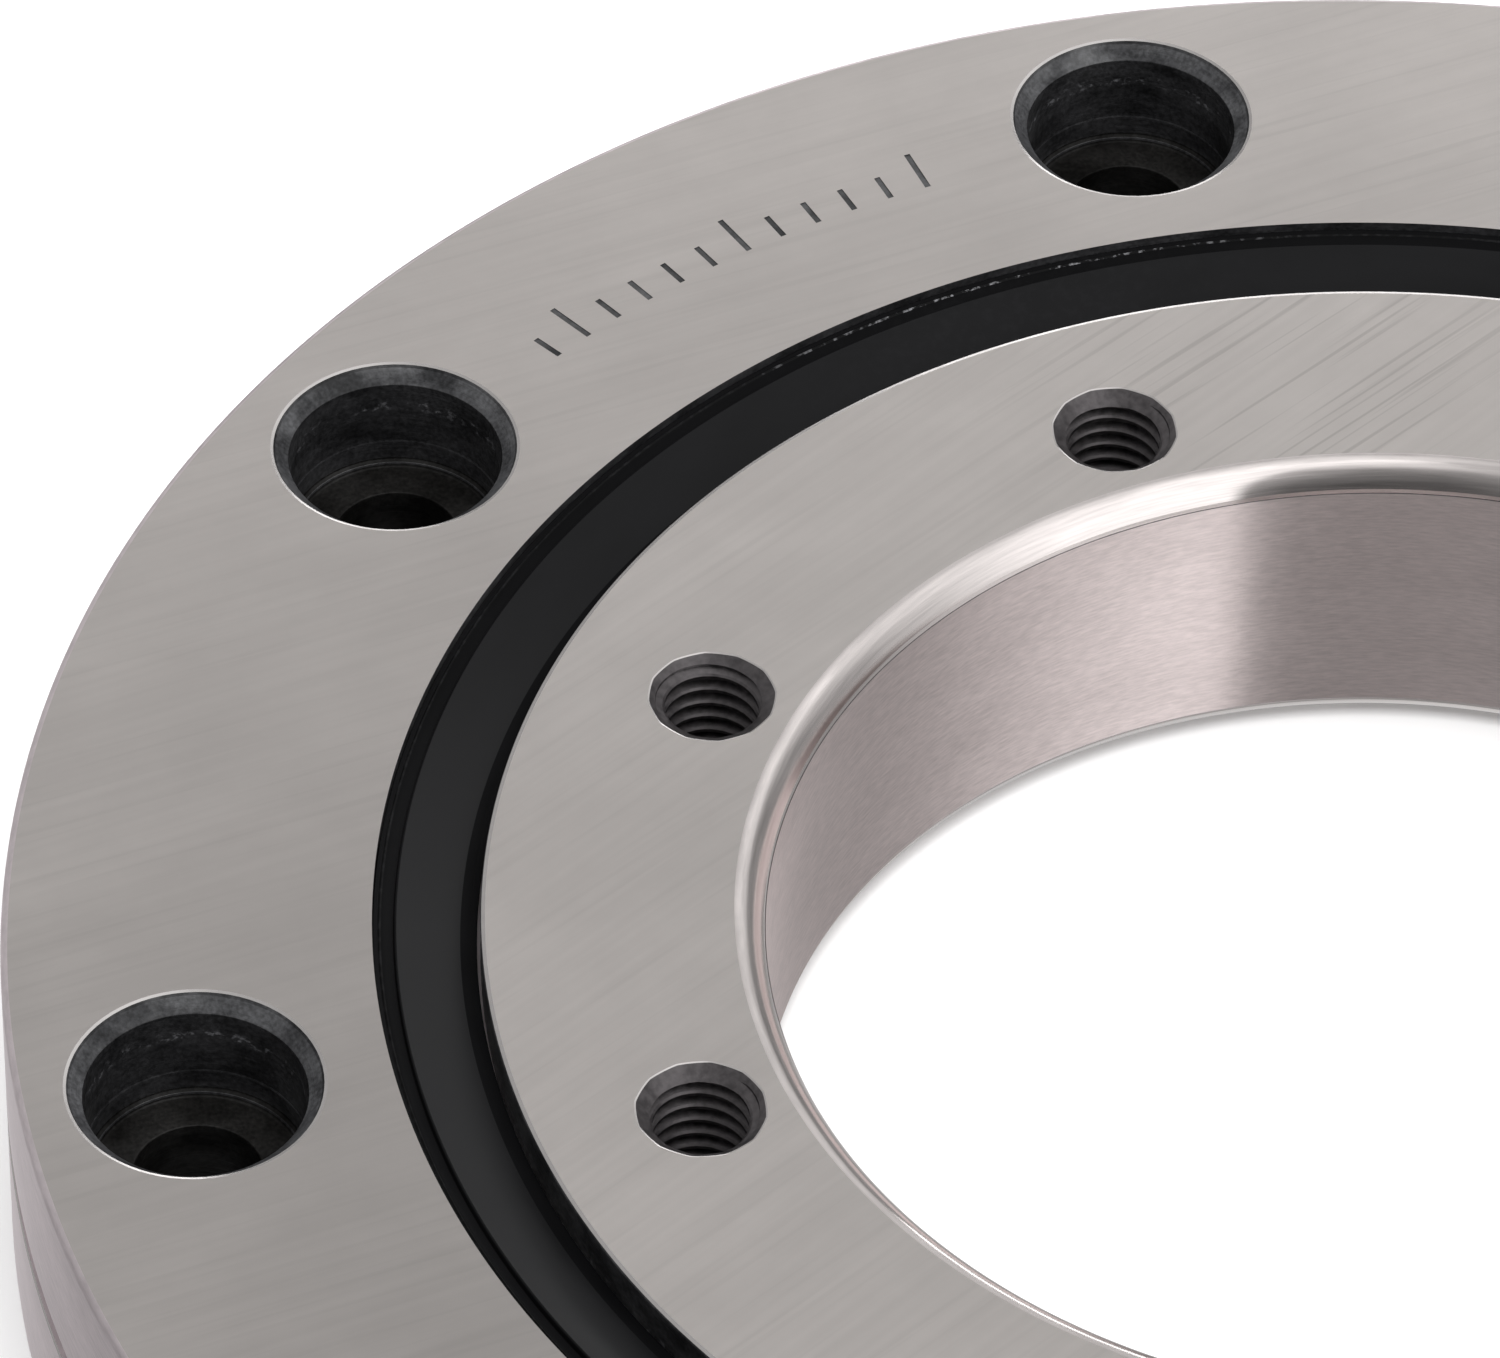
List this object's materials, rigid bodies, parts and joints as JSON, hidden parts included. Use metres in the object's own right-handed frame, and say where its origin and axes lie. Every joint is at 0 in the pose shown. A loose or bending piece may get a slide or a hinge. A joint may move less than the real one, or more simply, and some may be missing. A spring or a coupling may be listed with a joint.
{
  "type": "slewing ring bearing",
  "caption": "Crossed roller slewing bearing: counterbored outer ring, threaded inner ring turning on crossed rollers, rubber seals and an open bore.",
  "frame": {"origin": "centre of the lower face, on the axis of rotation", "axes": "+Z along the axis of rotation, from the lower face to the counterbored upper face; +X through the centre of one counterbored hole of the outer ring"},
  "size_m": [0.12, 0.12, 0.015],
  "materials": {
    "ring_steel": "fine surface-ground bearing steel, satin, with turned bore; counterbores black-oxide finished",
    "plug_steel": "ground with the rim of the outer ring, satin",
    "pin_steel": "ground taper pin, end faces filed flush",
    "roller_steel": "lapped bearing steel, near mirror",
    "spacer_plastic": "moulded natural engineering plastic",
    "seal_rubber": "smooth black nitrile rubber, slight sheen"
  },
  "bodies": {
    "outer": {"outer_ring": "ring_steel", "filling_plug": "plug_steel", "plug_taper_pin": "pin_steel", "seal_upper": "seal_rubber", "seal_lower": "seal_rubber"},
    "inner": {"inner_ring": "ring_steel"},
    "roller_train": {"spacer_01": "spacer_plastic", "spacer_02": "spacer_plastic", "spacer_03": "spacer_plastic", "spacer_04": "spacer_plastic", "spacer_05": "spacer_plastic", "spacer_06": "spacer_plastic", "spacer_07": "spacer_plastic", "spacer_08": "spacer_plastic", "spacer_09": "spacer_plastic", "spacer_10": "spacer_plastic", "spacer_11": "spacer_plastic", "spacer_12": "spacer_plastic", "spacer_13": "spacer_plastic", "spacer_14": "spacer_plastic", "spacer_15": "spacer_plastic", "spacer_16": "spacer_plastic", "spacer_17": "spacer_plastic", "spacer_18": "spacer_plastic", "spacer_19": "spacer_plastic", "spacer_20": "spacer_plastic", "spacer_21": "spacer_plastic", "spacer_22": "spacer_plastic", "spacer_23": "spacer_plastic", "spacer_24": "spacer_plastic", "spacer_25": "spacer_plastic", "spacer_26": "spacer_plastic"},
    "roller_01": {"roller_01": "roller_steel"},
    "roller_02": {"roller_02": "roller_steel"},
    "roller_03": {"roller_03": "roller_steel"},
    "roller_04": {"roller_04": "roller_steel"},
    "roller_05": {"roller_05": "roller_steel"},
    "roller_06": {"roller_06": "roller_steel"},
    "roller_07": {"roller_07": "roller_steel"},
    "roller_08": {"roller_08": "roller_steel"},
    "roller_09": {"roller_09": "roller_steel"},
    "roller_10": {"roller_10": "roller_steel"},
    "roller_11": {"roller_11": "roller_steel"},
    "roller_12": {"roller_12": "roller_steel"},
    "roller_13": {"roller_13": "roller_steel"},
    "roller_14": {"roller_14": "roller_steel"},
    "roller_15": {"roller_15": "roller_steel"},
    "roller_16": {"roller_16": "roller_steel"},
    "roller_17": {"roller_17": "roller_steel"},
    "roller_18": {"roller_18": "roller_steel"},
    "roller_19": {"roller_19": "roller_steel"},
    "roller_20": {"roller_20": "roller_steel"},
    "roller_21": {"roller_21": "roller_steel"},
    "roller_22": {"roller_22": "roller_steel"},
    "roller_23": {"roller_23": "roller_steel"},
    "roller_24": {"roller_24": "roller_steel"},
    "roller_25": {"roller_25": "roller_steel"},
    "roller_26": {"roller_26": "roller_steel"}
  },
  "joints": [
    {"name": "inner_ring_spin", "type": "hinge", "parent": "outer", "child": "inner", "pos_m": [0, 0, 0.0075], "axis": [0, 0, 1], "continuous": true},
    {"name": "roller_train_orbit", "type": "hinge", "parent": "outer", "child": "roller_train", "pos_m": [0, 0, 0.0075], "axis": [0, 0, 1], "continuous": true},
    {"name": "roller_01_spin", "type": "hinge", "parent": "roller_train", "child": "roller_01", "pos_m": [0.0425, 0, 0.0075], "axis": [0.7071, 0, 0.7071], "continuous": true},
    {"name": "roller_02_spin", "type": "hinge", "parent": "roller_train", "child": "roller_02", "pos_m": [0.04127, 0.01017, 0.0075], "axis": [-0.6866, -0.1692, 0.7071], "continuous": true},
    {"name": "roller_03_spin", "type": "hinge", "parent": "roller_train", "child": "roller_03", "pos_m": [0.03763, 0.01975, 0.0075], "axis": [0.6261, 0.3286, 0.7071], "continuous": true},
    {"name": "roller_04_spin", "type": "hinge", "parent": "roller_train", "child": "roller_04", "pos_m": [0.03181, 0.02818, 0.0075], "axis": [-0.5293, -0.4689, 0.7071], "continuous": true},
    {"name": "roller_05_spin", "type": "hinge", "parent": "roller_train", "child": "roller_05", "pos_m": [0.02414, 0.03498, 0.0075], "axis": [0.4017, 0.5819, 0.7071], "continuous": true},
    {"name": "roller_06_spin", "type": "hinge", "parent": "roller_train", "child": "roller_06", "pos_m": [0.01507, 0.03974, 0.0075], "axis": [-0.2507, -0.6612, 0.7071], "continuous": true},
    {"name": "roller_07_spin", "type": "hinge", "parent": "roller_train", "child": "roller_07", "pos_m": [0.00512, 0.04219, 0.0075], "axis": [0.0852, 0.702, 0.7071], "continuous": true},
    {"name": "roller_08_spin", "type": "hinge", "parent": "roller_train", "child": "roller_08", "pos_m": [-0.00512, 0.04219, 0.0075], "axis": [0.0852, -0.702, 0.7071], "continuous": true},
    {"name": "roller_09_spin", "type": "hinge", "parent": "roller_train", "child": "roller_09", "pos_m": [-0.01507, 0.03974, 0.0075], "axis": [-0.2507, 0.6612, 0.7071], "continuous": true},
    {"name": "roller_10_spin", "type": "hinge", "parent": "roller_train", "child": "roller_10", "pos_m": [-0.02414, 0.03498, 0.0075], "axis": [0.4017, -0.5819, 0.7071], "continuous": true},
    {"name": "roller_11_spin", "type": "hinge", "parent": "roller_train", "child": "roller_11", "pos_m": [-0.03181, 0.02818, 0.0075], "axis": [-0.5293, 0.4689, 0.7071], "continuous": true},
    {"name": "roller_12_spin", "type": "hinge", "parent": "roller_train", "child": "roller_12", "pos_m": [-0.03763, 0.01975, 0.0075], "axis": [0.6261, -0.3286, 0.7071], "continuous": true},
    {"name": "roller_13_spin", "type": "hinge", "parent": "roller_train", "child": "roller_13", "pos_m": [-0.04127, 0.01017, 0.0075], "axis": [-0.6866, 0.1692, 0.7071], "continuous": true},
    {"name": "roller_14_spin", "type": "hinge", "parent": "roller_train", "child": "roller_14", "pos_m": [-0.0425, 0, 0.0075], "axis": [0.7071, 0, 0.7071], "continuous": true},
    {"name": "roller_15_spin", "type": "hinge", "parent": "roller_train", "child": "roller_15", "pos_m": [-0.04127, -0.01017, 0.0075], "axis": [-0.6866, -0.1692, 0.7071], "continuous": true},
    {"name": "roller_16_spin", "type": "hinge", "parent": "roller_train", "child": "roller_16", "pos_m": [-0.03763, -0.01975, 0.0075], "axis": [0.6261, 0.3286, 0.7071], "continuous": true},
    {"name": "roller_17_spin", "type": "hinge", "parent": "roller_train", "child": "roller_17", "pos_m": [-0.03181, -0.02818, 0.0075], "axis": [-0.5293, -0.4689, 0.7071], "continuous": true},
    {"name": "roller_18_spin", "type": "hinge", "parent": "roller_train", "child": "roller_18", "pos_m": [-0.02414, -0.03498, 0.0075], "axis": [0.4017, 0.5819, 0.7071], "continuous": true},
    {"name": "roller_19_spin", "type": "hinge", "parent": "roller_train", "child": "roller_19", "pos_m": [-0.01507, -0.03974, 0.0075], "axis": [-0.2507, -0.6612, 0.7071], "continuous": true},
    {"name": "roller_20_spin", "type": "hinge", "parent": "roller_train", "child": "roller_20", "pos_m": [-0.00512, -0.04219, 0.0075], "axis": [0.0852, 0.702, 0.7071], "continuous": true},
    {"name": "roller_21_spin", "type": "hinge", "parent": "roller_train", "child": "roller_21", "pos_m": [0.00512, -0.04219, 0.0075], "axis": [0.0852, -0.702, 0.7071], "continuous": true},
    {"name": "roller_22_spin", "type": "hinge", "parent": "roller_train", "child": "roller_22", "pos_m": [0.01507, -0.03974, 0.0075], "axis": [-0.2507, 0.6612, 0.7071], "continuous": true},
    {"name": "roller_23_spin", "type": "hinge", "parent": "roller_train", "child": "roller_23", "pos_m": [0.02414, -0.03498, 0.0075], "axis": [0.4017, -0.5819, 0.7071], "continuous": true},
    {"name": "roller_24_spin", "type": "hinge", "parent": "roller_train", "child": "roller_24", "pos_m": [0.03181, -0.02818, 0.0075], "axis": [-0.5293, 0.4689, 0.7071], "continuous": true},
    {"name": "roller_25_spin", "type": "hinge", "parent": "roller_train", "child": "roller_25", "pos_m": [0.03763, -0.01975, 0.0075], "axis": [0.6261, -0.3286, 0.7071], "continuous": true},
    {"name": "roller_26_spin", "type": "hinge", "parent": "roller_train", "child": "roller_26", "pos_m": [0.04127, -0.01017, 0.0075], "axis": [-0.6866, 0.1692, 0.7071], "continuous": true}
  ],
  "couplings": [
    {"joint": "roller_train_orbit", "follows": "inner_ring_spin", "ratio": 0.4688},
    {"joint": "roller_01_spin", "follows": "inner_ring_spin", "ratio": -5.6446},
    {"joint": "roller_02_spin", "follows": "inner_ring_spin", "ratio": -5.6446},
    {"joint": "roller_03_spin", "follows": "inner_ring_spin", "ratio": -5.6446},
    {"joint": "roller_04_spin", "follows": "inner_ring_spin", "ratio": -5.6446},
    {"joint": "roller_05_spin", "follows": "inner_ring_spin", "ratio": -5.6446},
    {"joint": "roller_06_spin", "follows": "inner_ring_spin", "ratio": -5.6446},
    {"joint": "roller_07_spin", "follows": "inner_ring_spin", "ratio": -5.6446},
    {"joint": "roller_08_spin", "follows": "inner_ring_spin", "ratio": -5.6446},
    {"joint": "roller_09_spin", "follows": "inner_ring_spin", "ratio": -5.6446},
    {"joint": "roller_10_spin", "follows": "inner_ring_spin", "ratio": -5.6446},
    {"joint": "roller_11_spin", "follows": "inner_ring_spin", "ratio": -5.6446},
    {"joint": "roller_12_spin", "follows": "inner_ring_spin", "ratio": -5.6446},
    {"joint": "roller_13_spin", "follows": "inner_ring_spin", "ratio": -5.6446},
    {"joint": "roller_14_spin", "follows": "inner_ring_spin", "ratio": -5.6446},
    {"joint": "roller_15_spin", "follows": "inner_ring_spin", "ratio": -5.6446},
    {"joint": "roller_16_spin", "follows": "inner_ring_spin", "ratio": -5.6446},
    {"joint": "roller_17_spin", "follows": "inner_ring_spin", "ratio": -5.6446},
    {"joint": "roller_18_spin", "follows": "inner_ring_spin", "ratio": -5.6446},
    {"joint": "roller_19_spin", "follows": "inner_ring_spin", "ratio": -5.6446},
    {"joint": "roller_20_spin", "follows": "inner_ring_spin", "ratio": -5.6446},
    {"joint": "roller_21_spin", "follows": "inner_ring_spin", "ratio": -5.6446},
    {"joint": "roller_22_spin", "follows": "inner_ring_spin", "ratio": -5.6446},
    {"joint": "roller_23_spin", "follows": "inner_ring_spin", "ratio": -5.6446},
    {"joint": "roller_24_spin", "follows": "inner_ring_spin", "ratio": -5.6446},
    {"joint": "roller_25_spin", "follows": "inner_ring_spin", "ratio": -5.6446},
    {"joint": "roller_26_spin", "follows": "inner_ring_spin", "ratio": -5.6446}
  ]
}
